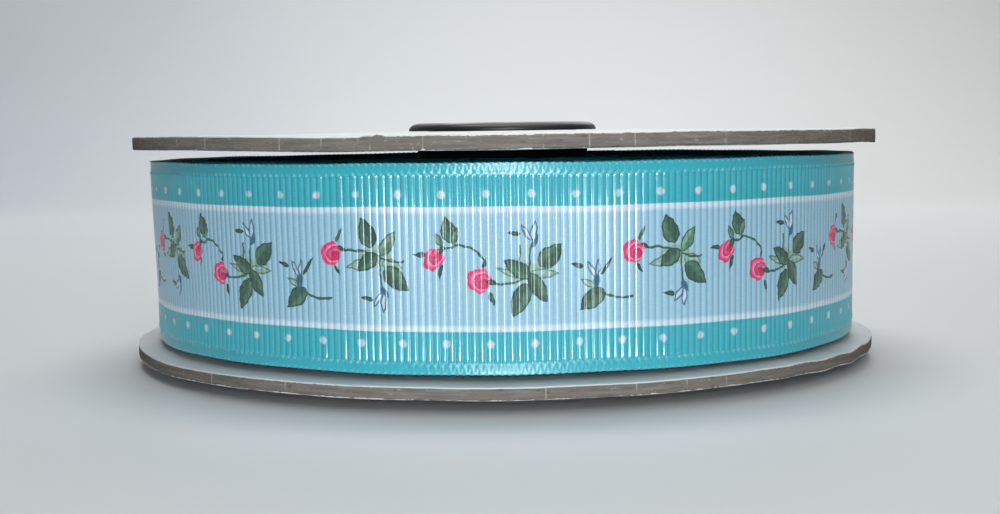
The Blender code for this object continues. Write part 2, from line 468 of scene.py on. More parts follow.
def open_rose_spray(ink):
    """The open rose, its two upright leaves, the leaves about their fork and a small hanging blossom."""
    ink.leaf((3.4, 13.9), (8.6, 13.6), 3.0, FAINT_LEAF)
    ink.leaf((5.6, 13.4), (1.7, 12.6), 1.7, PALE_LEAF)
    ink.leaf((6.6, 13.2), (9.2, 12.6), 2.0, PALE_LEAF)
    ink.stem((1.4, 14.7), (6.4, 14.0), 0.28, 0.05)
    ink.stem((6.2, 13.9), (9.3, 13.4), 0.26, -0.08)
    ink.stem((6.3, 13.7), (6.6, 10.2), 0.24, -0.05)
    ink.leaf((5.3, 15.0), (4.0, 18.7), 2.7)
    ink.leaf((6.0, 14.2), (3.2, 12.2), 2.4)
    ink.leaf((6.4, 14.1), (8.3, 17.1), 2.0, SOFT_LEAF)
    ink.leaf((6.8, 12.6), (9.9, 9.9), 2.7)
    ink.leaf((6.3, 10.4), (7.4, 9.0), 1.0, BLUE_LEAF)
    ink.leaf((6.7, 9.7), (6.6, 7.2), 1.1, WHITE_PETAL)
    ink.leaf((6.6, 9.8), (5.2, 7.9), 1.0, WHITE_PETAL)
    ink.leaf((5.4, 8.9), (3.7, 9.2), 0.8)
    ink.leaf((0.6, 15.6), (1.5, 17.5), 0.7, SOFT_LEAF)
    ink.leaf((0.3, 12.9), (1.2, 11.6), 0.6)
    ink.rose((-0.1, 14.3), 3.1, 3.2)
    ink.leaf((1.9, 14.7), (0.7, 15.3), 0.7)


def bud_and_arch(ink):
    """A nodding bud under a pair of leaves, with a stem that arches over to the next rose."""
    ink.leaf((13.9, 15.2), (13.1, 17.0), 1.1, SOFT_LEAF)
    ink.leaf((15.2, 15.6), (14.2, 18.8), 2.4)
    ink.leaf((15.1, 15.5), (15.8, 17.6), 1.2, SOFT_LEAF)
    ink.stem((14.0, 15.0), (15.6, 15.4), 0.3, -0.1)
    ink.stem((15.2, 15.4), (18.9, 13.5), 0.28, 0.14)
    ink.leaf((12.2, 14.2), (10.2, 14.3), 0.8)
    ink.leaf((13.9, 13.2), (13.4, 11.1), 0.7)
    ink.rose((12.9, 13.7), 3.3, 2.5, 52)
    ink.leaf((14.1, 15.3), (13.4, 14.1), 0.9)


def low_rose_spray(ink):
    """The lower rose, four leaves about the fork to its right and a small blossom that stands up."""
    ink.leaf((21.2, 11.9), (27.0, 12.3), 3.4, FAINT_LEAF)
    ink.leaf((24.3, 12.0), (27.9, 11.9), 1.5, PALE_LEAF)
    ink.leaf((23.0, 11.6), (20.0, 12.7), 1.1, PALE_LEAF)
    ink.stem((20.0, 10.8), (24.2, 11.6), 0.28, -0.06)
    ink.stem((24.2, 11.8), (24.4, 15.4), 0.24, 0.04)
    ink.stem((23.0, 13.4), (23.1, 15.3), 0.22)
    ink.leaf((24.3, 11.5), (21.0, 13.7), 2.3)
    ink.leaf((23.9, 10.8), (22.1, 6.8), 2.7)
    ink.leaf((24.2, 11.9), (26.3, 8.3), 2.3)
    ink.leaf((25.3, 12.8), (28.1, 15.5), 2.9)
    ink.leaf((24.5, 15.0), (25.2, 16.6), 1.0, BLUE_LEAF)
    ink.leaf((24.5, 15.7), (24.9, 18.5), 1.1, WHITE_PETAL)
    ink.leaf((24.4, 15.8), (23.1, 17.9), 1.0, WHITE_PETAL)
    ink.leaf((23.2, 16.6), (21.5, 16.8), 0.8)
    ink.leaf((19.4, 9.9), (20.0, 8.1), 0.8)
    ink.leaf((18.7, 12.6), (19.0, 13.9), 0.6)
    ink.rose((18.2, 11.2), 3.4, 3.2, -14)
    ink.leaf((20.3, 10.8), (18.9, 11.2), 0.9)


def small_blossom(ink):
    """A blossom over one broad leaf, with a curled stem to the right."""
    ink.leaf((31.9, 10.2), (30.1, 11.3), 1.2, PALE_LEAF)
    ink.leaf((33.0, 9.9), (30.0, 7.4), 2.7)
    ink.stem((32.7, 9.6), (36.7, 8.9), 0.3, -0.1)
    ink.leaf((32.0, 10.0), (32.3, 12.3), 1.2, BLUE_LEAF)
    ink.leaf((32.0, 11.4), (30.9, 13.6), 1.0, WHITE_PETAL)
    ink.leaf((32.2, 11.4), (32.4, 13.9), 0.9, WHITE_PETAL)
    ink.leaf((32.6, 11.6), (34.3, 14.1), 0.7)
    ink.leaf((30.5, 12.6), (28.9, 13.2), 0.8)


SPRAYS = (
    (open_rose_spray, 4.0),
    (bud_and_arch, 14.5),
    (low_rose_spray, 23.5),
    (small_blossom, 33.0),
)


def printed_cloth():
    """Grosgrain with teal borders, dots, white stripes and the rose sprays, all placed by the print map."""
    made, g = new_material("printed_grosgrain")
    width = RIBBON_WIDTH / MM
    place = g.node("ShaderNodeUVMap", uv_map="print").outputs[0]
    wobble = g.node("ShaderNodeTexNoise", noise_dimensions="2D")
    wobble.inputs["Scale"].default_value = 1.1
    wobble.inputs["Detail"].default_value = 1.0
    g.feed(wobble.inputs["Vector"], place)
    shift = g.scaled(g.vector("SUBTRACT", wobble.outputs["Color"], (0.5, 0.5, 0.5)), INK_SPREAD)
    inked = g.vector("ADD", place, shift)
    x, y, _ = g.separate(place)
    inked_x, inked_y, _ = g.separate(inked)

    from_edge = g.math("MINIMUM", y, g.minus(width, y))
    middle = g.ramp(from_edge, BORDER_WIDTH - 0.1, BORDER_WIDTH + 0.08)
    stripe_end = BORDER_WIDTH + STRIPE_WIDTH
    stripe = g.ramp(from_edge, stripe_end - 0.45, stripe_end + 0.15, 1.0, 0.0)
    colour = g.mix(stripe, srgb(156, 200, 222), srgb(206, 226, 240))
    colour = g.mix(middle, srgb(58, 176, 192), colour)

    cell = PRINT_REPEAT / DOTS_PER_REPEAT
    lead = g.ramp(y, width * 0.49, width * 0.51, DOT_LEAD_BELOW, DOT_LEAD_ABOVE)
    in_cell = g.math("FRACT", g.math("DIVIDE", g.minus(inked_x, lead), cell))
    along = g.minus(in_cell, 0.5)
    up = g.minus(g.math("MINIMUM", inked_y, g.minus(width, inked_y)), DOT_HEIGHT)
    from_dot = g.vector("LENGTH", g.combine(g.times(along, cell), up))
    dot = g.ramp(from_dot, DOT_RADIUS - 0.2, DOT_RADIUS + 0.16, 0.8, 0.0)
    colour = g.mix(dot, colour, srgb(214, 226, 244))

    printer = Printer(g, colour)
    for spray, centre in SPRAYS:
        start = centre - PRINT_REPEAT / 2
        wrapped = g.math("WRAP", inked_x, start + PRINT_REPEAT, start)
        printer.point = g.combine(wrapped, inked_y)
        spray(printer)
    colour = printer.colour

    # Warp yarns lie side by side across the width and pass over every rib.
    yarn_place = g.vector("MULTIPLY", place, (0.9, 6.4, 1.0))
    yarn = g.noise(yarn_place, 1.0, 2.0, 0.6, "2D")
    rib = g.math("ABSOLUTE", g.minus(g.math("FRACT", g.math("DIVIDE", x, RIB_PITCH / MM)), 0.5))
    # The valleys between the ribs are darker: partly thinner ink, partly painted shade.
    valley_shade_and_thin_ink = g.ramp(rib, 0.3, 0.5, 1.0, 0.68)
    in_ribs = g.ramp(from_edge, SELVEDGE / MM - 0.15, SELVEDGE / MM + 0.1)
    shade = g.mix(in_ribs, (0.93, 0.93, 0.93, 1.0), g.combine(valley_shade_and_thin_ink, valley_shade_and_thin_ink, valley_shade_and_thin_ink))
    grain = g.ramp(yarn, 0.25, 0.75, 0.96, 1.03)
    stitch = g.noise(g.vector("MULTIPLY", place, (2.2, 0.6, 1.0)), 1.0, 0.0, 0.5, "2D")
    # Painted highlight: the weft loops in the selvedges get pale glints on the rib crests, broken up by
    # noise.
    loop_row = g.ramp(g.math("ABSOLUTE", g.minus(from_edge, 1.32)), 0.08, 0.26, 1.0, 0.0)
    edge_row = g.ramp(from_edge, 0.2, 0.42, 0.8, 0.0)
    loops = g.times(g.math("MAXIMUM", loop_row, edge_row), g.ramp(rib, 0.1, 0.3, 1.0, 0.0))
    loops = g.times(loops, g.ramp(stitch, 0.35, 0.6, 0.1, 0.55))
    colour = g.mix(loops, colour, srgb(170, 228, 234))
    tinted = g.vector("MULTIPLY", colour, g.vector("MULTIPLY", shade, g.combine(grain, grain, grain)))
    g.look("Base Color", tinted)
    fine = g.node("ShaderNodeTexWave", wave_type="BANDS", bands_direction="Y", wave_profile="SIN")
    fine.inputs["Scale"].default_value = 1.9
    fine.inputs["Distortion"].default_value = 1.2
    fine.inputs["Detail"].default_value = 1.0
    fine.inputs["Detail Scale"].default_value = 2.0
    g.feed(fine.inputs["Vector"], place)
    height = g.plus(g.times(fine.outputs["Fac"], 0.5), yarn)
    g.look("Normal", g.bump(height, 0.008 * MM, 0.25))
    dull_edge = g.ramp(from_edge, SELVEDGE / MM - 0.25, SELVEDGE / MM + 0.05, 0.2, 0.0)
    g.look("Roughness", g.plus(g.ramp(yarn, 0.25, 0.75, 0.17, 0.25), dull_edge))
    g.look("Specular IOR Level", 1.0)
    tangent = g.node("ShaderNodeTangent", direction_type="UV_MAP", uv_map="print")
    g.look("Tangent", tangent.outputs[0])
    g.look("Anisotropic", 0.8)
    g.look("Anisotropic Rotation", 0.25)
    g.look("Sheen Weight", 0.12)
    g.look("Sheen Roughness", 0.4)
    return made


# ------------------------------------------------------------ materials ----

def object_place(g):
    return g.node("ShaderNodeTexCoord").outputs["Object"]


def board_edge():
    """Grey recycled board at its die-cut edge: pressed fibre layers, specks and a rough matt face."""
    made, g = new_material("cut_board")
    place = object_place(g)
    layers = g.noise(g.vector("MULTIPLY", place, (160.0, 160.0, 2600.0)), 1.0, 4.0, 0.6)
    specks = g.noise(place, 1500.0, 2.0, 0.6)
    blotch = g.noise(place, 130.0, 2.0, 0.5)
    tone = g.mix(g.ramp(layers, 0.28, 0.72), srgb(104, 99, 93), srgb(134, 129, 122))
    tone = g.mix(g.ramp(blotch, 0.35, 0.7, 0.0, 0.5), tone, srgb(122, 111, 101))
    streak = g.noise(g.vector("MULTIPLY", place, (600.0, 600.0, 3000.0)), 1.0, 3.0, 0.7)
    tone = g.mix(g.ramp(streak, 0.6, 0.74, 0.0, 0.7), tone, srgb(168, 163, 156))
    tone = g.mix(g.ramp(streak, 0.28, 0.4, 0.7, 0.0), tone, srgb(72, 67, 63))
    x, y, _ = g.separate(place)
    around = g.times(g.math("ARCTAN2", y, x), 54.0)
    cracks = g.node("ShaderNodeTexVoronoi", voronoi_dimensions="1D", feature="DISTANCE_TO_EDGE")
    cracks.inputs["Scale"].default_value = 0.16
    g.feed(cracks.inputs["W"], around)
    fade = g.noise(g.vector("MULTIPLY", place, (500.0, 500.0, 500.0)), 1.0, 1.0)
    near_cut = g.ramp(cracks.outputs["Distance"], 0.008, 0.022, 1.0, 0.0)
    cut = g.times(near_cut, g.ramp(fade, 0.46, 0.64, 0.0, 0.5))
    tone = g.mix(cut, tone, srgb(188, 184, 176))
    tone = g.mix(g.ramp(specks, 0.66, 0.76, 0.0, 0.6), tone, srgb(178, 172, 163))
    g.look("Base Color", tone)
    height = g.plus(layers, g.times(specks, 0.6))
    g.look("Normal", g.bump(height, 0.12 * MM, 0.8))
    g.look("Roughness", 0.92)
    g.look("Specular IOR Level", 0.25)
    return made


def facing_paper():
    """White clay-coated paper, faintly mottled, with a few fibres showing and a smooth low gloss."""
    made, g = new_material("facing_paper")
    place = object_place(g)
    cloud = g.noise(place, 60.0, 3.0, 0.55)
    fibre = g.noise(g.vector("MULTIPLY", place, (900.0, 300.0, 900.0)), 1.0, 3.0, 0.6)
    tone = g.mix(g.ramp(cloud, 0.3, 0.7), srgb(208, 212, 213), srgb(214, 217, 217))
    tone = g.mix(g.ramp(fibre, 0.66, 0.78, 0.0, 0.5), tone, srgb(196, 198, 196))
    g.look("Base Color", tone)
    g.look("Roughness", g.ramp(cloud, 0.3, 0.7, 0.46, 0.52))
    g.look("Normal", g.bump(fibre, 0.02 * MM, 0.35))
    return made


def moulded_plastic():
    """Black polystyrene: a fine spark-eroded grain, a little dust and rubbed high spots."""
    made, g = new_material("moulded_black_plastic")
    place = object_place(g)
    grain = g.noise(place, 2600.0, 2.0, 0.5)
    dust = g.noise(place, 420.0, 4.0, 0.7)
    rub = g.noise(place, 90.0, 2.0, 0.5)
    tone = g.mix(g.ramp(dust, 0.6, 0.78, 0.0, 0.25), srgb(26, 29, 31), srgb(96, 100, 101))
    g.look("Base Color", tone)
    g.look("Roughness", g.ramp(rub, 0.35, 0.7, 0.34, 0.5))
    g.look("Normal", g.bump(grain, 0.015 * MM, 0.5))
    g.look("Specular IOR Level", 0.5)
    return made


def wound_edges():
    """The stacked selvedges of the wound turns: teal yarn, turn by turn a little lighter or darker."""
    made, g = new_material("wound_ribbon_edges")
    place = object_place(g)
    x, y, _ = g.separate(place)
    radius = g.vector("LENGTH", g.combine(x, y))
    turns = g.noise(g.combine(g.times(radius, 2600.0)), 1.0, 1.0, 0.5)
    yarn = g.noise(place, 1800.0, 3.0, 0.6)
    tone = g.mix(g.ramp(turns, 0.3, 0.7), srgb(38, 128, 150), srgb(70, 168, 188))
    tone = g.mix(g.ramp(yarn, 0.55, 0.75, 0.0, 0.5), tone, srgb(126, 196, 208))
    g.look("Base Color", tone)
    g.look("Roughness", g.ramp(yarn, 0.3, 0.7, 0.42, 0.6))
    g.look("Normal", g.bump(yarn, 0.05 * MM, 0.6))
    return made


def clear_tape():
    """Clear tape, a little cloudy from its glue, with fine lengthwise drawing lines."""
    made, g = new_material("clear_tape")
    place = object_place(g)
    cloud = g.noise(place, 260.0, 3.0, 0.6)
    lines = g.noise(g.vector("MULTIPLY", place, (60.0, 60.0, 3200.0)), 1.0, 2.0, 0.5)
    g.look("Base Color", g.mix(cloud, srgb(226, 230, 230), srgb(238, 240, 240)))
    g.look("Alpha", g.ramp(cloud, 0.35, 0.7, 0.06, 0.13))
    g.look("Roughness", g.ramp(lines, 0.3, 0.7, 0.1, 0.22))
    g.look("Normal", g.bump(lines, 0.01 * MM, 0.3))
    return made


# ---------------------------------------------------------------- mesh -----

def new_object(name, points, faces, finish=None):
    """A smooth-shaded mesh object."""
    mesh = bpy.data.meshes.new(name)
    mesh.from_pydata([tuple(point) for point in points], [], faces)
    if finish:
        mesh.materials.append(finish)
    mesh.shade_smooth()
    made = bpy.data.objects.new(name, mesh)
    bpy.context.scene.collection.objects.link(made)
    return made


def grid_faces(columns, rows):
    """Faces of a sheet of points, columns by rows."""
    faces = []
    for i in range(columns - 1):
        for j in range(rows - 1):
            here, ahead = i * rows + j, (i + 1) * rows + j
            faces.append((here, ahead, ahead + 1, here + 1))
    return faces


def smooth(value, low, high):
    share = np.clip((value - low) / (high - low), 0.0, 1.0)
    return share * share * (3 - 2 * share)


# --------------------------------------------------------------- ribbon ----

def ribbon_rows():
    """Heights of the cloth's rows of points: close together in the selvedges, wide apart between."""
    edge = np.array([0.0, 0.12, 0.3, 0.5, 0.7, 0.9, 1.1, 1.3, 1.45, 1.6, 1.8]) * MM
    inner = np.linspace(edge[-1], RIBBON_WIDTH - edge[-1], 9)[1:-1]
    return np.concatenate([edge, inner, RIBBON_WIDTH - edge[::-1]])


def ridge(place, middle, reach):
    """A soft ridge over middle, 1 at its top."""
    return np.exp(-(((place - middle) / reach) ** 2))


def rib_relief(along, up):
    """How far the cloth's face stands out, over arrays of places along and across it."""
    rib = along / RIB_PITCH
    number = np.floor(rib)
    share = rib - number
    vary = np.sin(number * 12.9898) * 43758.5453
    vary -= np.floor(vary)
    crest = 1 - np.abs(2 * share - 1) ** 2.3
    from_edge = np.minimum(up, RIBBON_WIDTH - up)
    body = smooth(from_edge, SELVEDGE - 0.22 * MM, SELVEDGE + 0.05 * MM)
    knot = ridge(from_edge, SELVEDGE, 0.16 * MM) * (0.25 + 0.5 * vary)
    ribbed = RIB_HEIGHT * crest * ((0.86 + 0.2 * vary) * body + knot)
    loops = ridge(from_edge, SELVEDGE * 0.72, 0.2 * MM) * (0.5 - 0.5 * np.cos(math.tau * (rib + 0.5)))
    picks = ridge(from_edge, SELVEDGE * 0.4, 0.16 * MM) * (0.5 - 0.5 * np.cos(math.tau * 2 * rib))
    cord = ridge(from_edge, 0.15 * MM, 0.14 * MM) * (0.7 - 0.3 * np.cos(math.tau * (rib + 0.2)))
    bound = RIB_HEIGHT * (0.3 + (0.35 + 0.3 * vary) * loops + 0.3 * picks + 0.5 * cord)
    return ribbed + (1 - body) * bound


def edge_loops(along, up):
    """How far the outermost rows are pulled in or out by the weft loops that turn there."""
    from_edge = np.minimum(up, RIBBON_WIDTH - up)
    lean = np.where(up < RIBBON_WIDTH / 2, -1.0, 1.0)
    loop = 0.05 * MM * np.sin(math.tau * along / RIB_PITCH + 1.0)
    slow = 0.05 * MM * np.sin(along / (7.3 * MM)) + 0.03 * MM * np.sin(along / (2.9 * MM))
    return lean * (loop * smooth(from_edge, 0.5 * MM, 0.0) + slow)


def along_ribbon(angle):
    """How far along the ribbon an angle lies, with the print's own zero set by its place at the front."""
    front = math.radians(270)
    mean = (turn_radius(angle) + turn_radius(front)) / 2
    return PRINT_AT_FRONT * MM + (angle - front) * mean


def mouth_lean(angle, up):
    """How far the last turns lean out at the top, most of all on the left."""
    share = 0.2 + 0.8 * smooth(-np.cos(angle), -0.2, 1.0)
    return MOUTH_FLARE * share * smooth(up, RIBBON_WIDTH * 0.15, RIBBON_WIDTH)


def ribbon_strip(name, start, end, curl=0.0):
    """The printed cloth from angle start to end, leaning out at its top and curling out at its end."""
    run = along_ribbon(end) - along_ribbon(start)
    columns = int(round(run / RIB_PITCH)) * RIB_COLUMNS + 1
    rows = ribbon_rows()
    share = np.linspace(0.0, 1.0, columns)
    angle = start + (end - start) * share
    along = along_ribbon(angle)
    a, u = np.meshgrid(along, rows, indexing="ij")
    angles = np.repeat(angle[:, None], len(rows), axis=1)
    radius = turn_radius(angles)
    sway = 0.02 * MM * np.sin(a / (3.1 * MM)) + 0.015 * MM * np.sin(a / (11.0 * MM) + 2.0)
    lift = mouth_lean(angles, u) + curl * smooth(angles, end - math.radians(14), end) ** 2
    front = radius + CLOTH_THICKNESS / 2 - RIB_HEIGHT + rib_relief(a, u) + sway + lift
    back = radius[:, [0, -1]] - CLOTH_THICKNESS / 2 + sway[:, [0, -1]] + lift[:, [0, -1]]
    high = RIBBON_LOW + u + edge_loops(a, u)
    high_back = high[:, [0, -1]]
    reach = np.concatenate([front, back[:, ::-1]], axis=1)
    height = np.concatenate([high, high_back[:, ::-1]], axis=1)
    turn = np.repeat(angle[:, None], reach.shape[1], axis=1)
    points = np.stack([reach * np.cos(turn), reach * np.sin(turn), height], axis=-1).reshape(-1, 3)

    loop = reach.shape[1]
    faces = []
    for i in range(columns - 1):
        for j in range(loop):
            after = (j + 1) % loop
            faces.append((i * loop + j, (i + 1) * loop + j, (i + 1) * loop + after, i * loop + after))
    faces.append(tuple(range(loop)))
    faces.append(tuple((columns - 1) * loop + j for j in reversed(range(loop))))
    strip = new_object(name, points, faces, CLOTH)
    set_ribbon_maps(strip, columns, loop, along, np.append(rows, [rows[-1], rows[0]]))
    return strip


def set_ribbon_maps(strip, columns, loop, along, rows):
    """The print map is in millimetres on the cloth. The bake map folds the long strip into a square."""
    mesh = strip.data
    corners = np.empty(len(mesh.loops), np.int64)
    mesh.loops.foreach_get("vertex_index", corners)
    column, row = corners // loop, corners % loop
    place = np.stack([along[column], rows[row]], axis=-1) / MM
    print_map = mesh.uv_layers.new(name="print")
    print_map.data.foreach_set("uv", place.astype(np.float32).ravel())

    folds = max(1, round(math.sqrt((along[-1] - along[0]) / RIBBON_WIDTH)))
    per_fold = math.ceil((columns - 1) / folds)
    ring = loop * 4 * (columns - 1)
    face_column = np.repeat(np.arange(columns - 1), loop * 4)
    fold = face_column // per_fold
    across = (column[:ring] - fold * per_fold) / per_fold
    spread = np.concatenate([rows[:-2] / RIBBON_WIDTH * 0.92, [0.96, 0.98]])
    rise = spread[row[:ring]]
    wraps = (row[:ring] == 0) & (np.tile(np.repeat(np.arange(loop), 4), columns - 1) == loop - 1)
    rise[wraps] = 1.0
    bake = np.zeros((len(corners), 2), np.float32)
    bake[:ring, 0] = 0.004 + 0.992 * across
    bake[:ring, 1] = (fold + 0.01 + 0.98 * rise) / folds
    bake_map = mesh.uv_layers.new(name="OFBake")
    bake_map.data.foreach_set("uv", bake.ravel())


# --------------------------------------------------------------- turned ----

def turned(name, profile, steps, finish, shape=None):
    """A ring about +Z from a closed profile of (radius, height) points, which shape may then move."""
    rows = len(profile)
    angle = np.arange(steps) * math.tau / steps
    reach, height = np.array(profile).T
    turn = np.repeat(angle, rows)
    reach, height = np.tile(reach, steps), np.tile(height, steps)
    if shape:
        reach, height = shape(reach, height, turn)
    points = np.stack([reach * np.cos(turn), reach * np.sin(turn), height], axis=-1)
    faces = []
    for i in range(steps):
        ahead = (i + 1) % steps
        for j in range(rows):
            after = (j + 1) % rows
            faces.append((i * rows + j, ahead * rows + j, ahead * rows + after, i * rows + after))
    return new_object(name, points, faces, finish)


CLOTH = printed_cloth()
BOARD = board_edge()
PAPER = facing_paper()
PLASTIC = moulded_plastic()
WOUND = wound_edges()
TAPE = clear_tape()


# --------------------------------------------------------------- boards ----

def angle_from(place, angle):
    """angle as seen from place, from -pi to pi."""
    return (angle - place + math.pi) % math.tau - math.pi


def waves(angle, seed, lowest, highest, count=6):
    """A wandering line about an axis, of about 1 either way, of lowest to highest whole waves a turn."""
    pick = random.Random(seed)
    total = np.zeros_like(angle)
    for step in range(count):
        number = round(lowest * (highest / lowest) ** (step / (count - 1)))
        total = total + np.sin(number * angle + pick.uniform(0.0, math.tau)) * pick.uniform(0.6, 1.0)
    return total / math.sqrt(count)


def grain_of(shape, seed):
    """Fine random grain, from -1 to 1."""
    return np.random.default_rng(seed).uniform(-1.0, 1.0, shape)


def board_bow(angle, reach, body):
    """How far a board lies out of flat: warped towards its edge, and drawn up to the cap's rim."""
    share = np.clip(reach / BOARD_RADIUS, 0.0, 1.0) ** 2
    seed = BOW_SEEDS[body]
    warp = 0.7 * waves(angle, seed, 2, 5, 3) + 0.3 * waves(angle, seed + 1, 7, 19, 4)
    outward = 1 if body == "top_flange" else -1
    bow = BOARD_BOW * share * warp + outward * BOARD_DISH * smooth(reach, BOARD_RADIUS * 0.92, 15 * MM)
    if body == "bottom_flange":
        off = angle_from(math.radians(330), angle)
        bow = bow + 0.13 * MM * share**6 * np.exp(-((off / 0.32) ** 2)) * np.sin(angle * 37)
    return bow


def torn_place(angle, reach, amount):
    """A small place near the front where the facing has come up with a tuft of board."""
    arc = angle_from(math.radians(253.8), angle) * BOARD_RADIUS
    tufts = 0.6 + 0.25 * np.sin(arc / (0.31 * MM)) + 0.15 * np.sin(arc / (0.13 * MM))
    near = np.exp(-((arc / (1.5 * MM)) ** 4)) * tufts
    return amount * near * smooth(reach, BOARD_RADIUS - 1.6 * MM, BOARD_RADIUS)


def right_swell(angle):
    """Where the top board's edge has been knocked and its layers have spread, at its right."""
    return np.exp(-((angle_from(0.0, angle) / 0.5) ** 4))


def make_card(node, body, seed, spare, torn=0.0):
    """A board's grey core: a rough die-cut edge of pressed layers, nicked here and there."""
    low, high = node_box(node)
    low.z, high.z = low.z - spare, high.z + spare
    hole = node_radii(node).min()
    edge = np.linspace(1.0, 0.0, 13)
    crown = 0.05 * MM * (1 - np.abs(2 * edge - 1) ** 6)
    inward = np.linspace(hole, BOARD_RADIUS - 0.6 * MM, 9)
    top = [(reach, high.z) for reach in inward]
    cut = [(BOARD_RADIUS - 0.06 * MM + out, low.z + (high.z - low.z) * up) for out, up in zip(crown, edge)]
    under = [(reach, low.z) for reach, _ in reversed(top)]
    profile = top + cut + under
    rows = len(profile)
    nicks = random.Random(seed)
    places = [nicks.uniform(0, math.tau) for _ in range(42)]

    def shape(reach, height, turn):
        level = (height - low.z) / (high.z - low.z)
        at_edge = smooth(reach, BOARD_RADIUS - 0.5 * MM, BOARD_RADIUS - 0.2 * MM)
        steps = len(turn) // rows
        grain = grain_of((steps, rows), seed).ravel()
        ply = np.sin(level * 17 + 2.5 * waves(turn, seed + 5, 3, 40))
        depth = 0.025 * grain + 0.022 * ply + 0.03 * waves(turn, seed + 3, 20, 260, 8)
        for number, place in enumerate(places):
            off = angle_from(place, turn) * BOARD_RADIUS
            deep = 0.05 if number % 3 else -0.07
            depth = depth + deep * ridge(off, 0.0, 0.22 * MM) * smooth(level, -0.2, 0.5 + number / 80)
        ragged = 0.035 * MM * grain_of((steps, rows), seed + 9).ravel()
        ragged = ragged + 0.03 * MM * waves(turn, seed + 2, 9, 90)
        lean = 0.06 * MM * (level - 0.5) * waves(turn, seed + 8, 2, 7)
        swell = right_swell(turn) if body == "top_flange" else 0.0
        reach = reach - at_edge * (np.abs(depth) * MM * 0.9 - lean) + at_edge * 0.35 * MM * swell
        height = height - at_edge * (1 - level) * swell * (0.22 * MM + 1.5 * np.abs(ragged))
        ends = np.abs(2 * level - 1) ** 4
        height = height + at_edge * ragged * ends * 0.6 + board_bow(turn, reach, body)
        return reach, height + torn_place(turn, reach, torn) * smooth(level, 0.55, 1.0)

    card = turned(node + "_card", profile, BOARD_STEPS, BOARD, shape)
    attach(card, body)
    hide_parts(node)


def make_facing(node, board, body, side, seed, spare, trim, torn=0.0):
    """A paper facing glued on one side of a board, its edge dragged over the cut by the die."""
    low, high = node_box(board)
    low.z, high.z = low.z - spare, high.z + spare
    level = high.z if side > 0 else low.z
    hole = node_radii(node).min()
    reach = [hole, 18 * MM, 26 * MM, 34 * MM, 42 * MM, 48 * MM, 51 * MM, 52.4 * MM]
    reach += [BOARD_RADIUS - back * MM for back in (1.0, 0.7, 0.48, 0.32, 0.2, 0.1, 0.03)]
    roll = [0.0] * 9 + [0.005, 0.01, 0.02, 0.03, 0.05, 0.09]
    face = [(r, level + side * (PAPER_FILM - drop * MM)) for r, drop in zip(reach, roll)]
    back = [(r, level - side * (0.02 + drop) * MM) for r, drop in zip(reach, roll)]
    profile = back + face[::-1]
    if side < 0:
        profile = profile[::-1]
    rows = len(profile)

    def shape(reach, height, turn):
        near = smooth(reach, BOARD_RADIUS - 0.9 * MM, BOARD_RADIUS - 0.05 * MM)
        steps = len(turn) // rows
        grain = np.repeat(grain_of(steps, seed), rows)
        ragged = 0.5 + 0.25 * waves(turn, seed, 5, 60) + 0.2 * waves(turn, seed + 4, 90, 300, 5)
        ragged = ragged + 0.1 * grain
        cut = np.clip(ragged, 0.0, 1.6) * trim
        moved = reach - near * cut
        lip = near * 0.02 * MM * waves(turn, seed + 6, 11, 120)
        height = height + side * lip + board_bow(turn, moved, body)
        return moved, height + torn_place(turn, moved, torn)

    facing = turned(node + "_sheet", profile, BOARD_STEPS, PAPER, shape)
    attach(facing, body)
    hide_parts(node)


def make_boards():
    thick, thin = TOP_BOARD_SPARE, BOTTOM_BOARD_SPARE
    make_card("top_board", "top_flange", 3, thick, torn=0.2 * MM)
    make_card("bottom_board", "bottom_flange", 8, thin)
    make_facing("top_board_outer_paper", "top_board", "top_flange", 1, 12, thick, 0.06 * MM, torn=0.34 * MM)
    make_facing("top_board_inner_paper", "top_board", "top_flange", -1, 15, thick, 0.45 * MM)
    make_facing("bottom_board_inner_paper", "bottom_board", "bottom_flange", 1, 27, thin, 0.03 * MM)
    make_facing("bottom_board_outer_paper", "bottom_board", "bottom_flange", -1, 31, thin, 0.07 * MM)


# ------------------------------------------------------- ribbon and tape ----

def make_roll():
    """The wound turns: a selvedge for every turn at both ends, none quite level with the next."""
    reach = node_radii("ribbon_roll")
    low, high = node_box("ribbon_roll")
    inner, outer = reach.min(), reach.max()
    turns = int((outer - inner) / WOUND_PITCH)
    pitch = (outer - inner) / turns
    pick = random.Random(5)
    under, over = [], []
    for turn in range(turns):
        sink = abs(pick.gauss(0.0, 0.1)) * MM
        rise = abs(pick.gauss(0.0, 0.1)) * MM
        start = inner + turn * pitch
        for share, drop in ((0.0, 0.28), (0.22, 0.05), (0.5, 0.0), (0.78, 0.05)):
            under.append((start + share * pitch, low.z + 0.02 * MM + sink + drop * MM))
            over.append((start + share * pitch, high.z - 0.02 * MM - rise - drop * MM))
    under.append((outer, under[-1][1] + 0.3 * MM))
    over.append((outer, over[-1][1] - 0.3 * MM))

    def shape(reach, height, turn):
        sway = 0.04 * MM * np.sin(3 * turn + reach / (2.1 * MM))
        sway = sway + 0.03 * MM * np.sin(7 * turn - reach / (1.3 * MM))
        ends = np.abs(height - (low.z + high.z) / 2) / ((high.z - low.z) / 2)
        lean = np.where(height > (low.z + high.z) / 2, -1.0, 1.0)
        return reach, height + lean * np.abs(sway) * (ends > 0.9)

    roll = turned("ribbon_windings", under + over[::-1], 180, WOUND, shape)
    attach(roll, "hub")
    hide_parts("ribbon_roll")


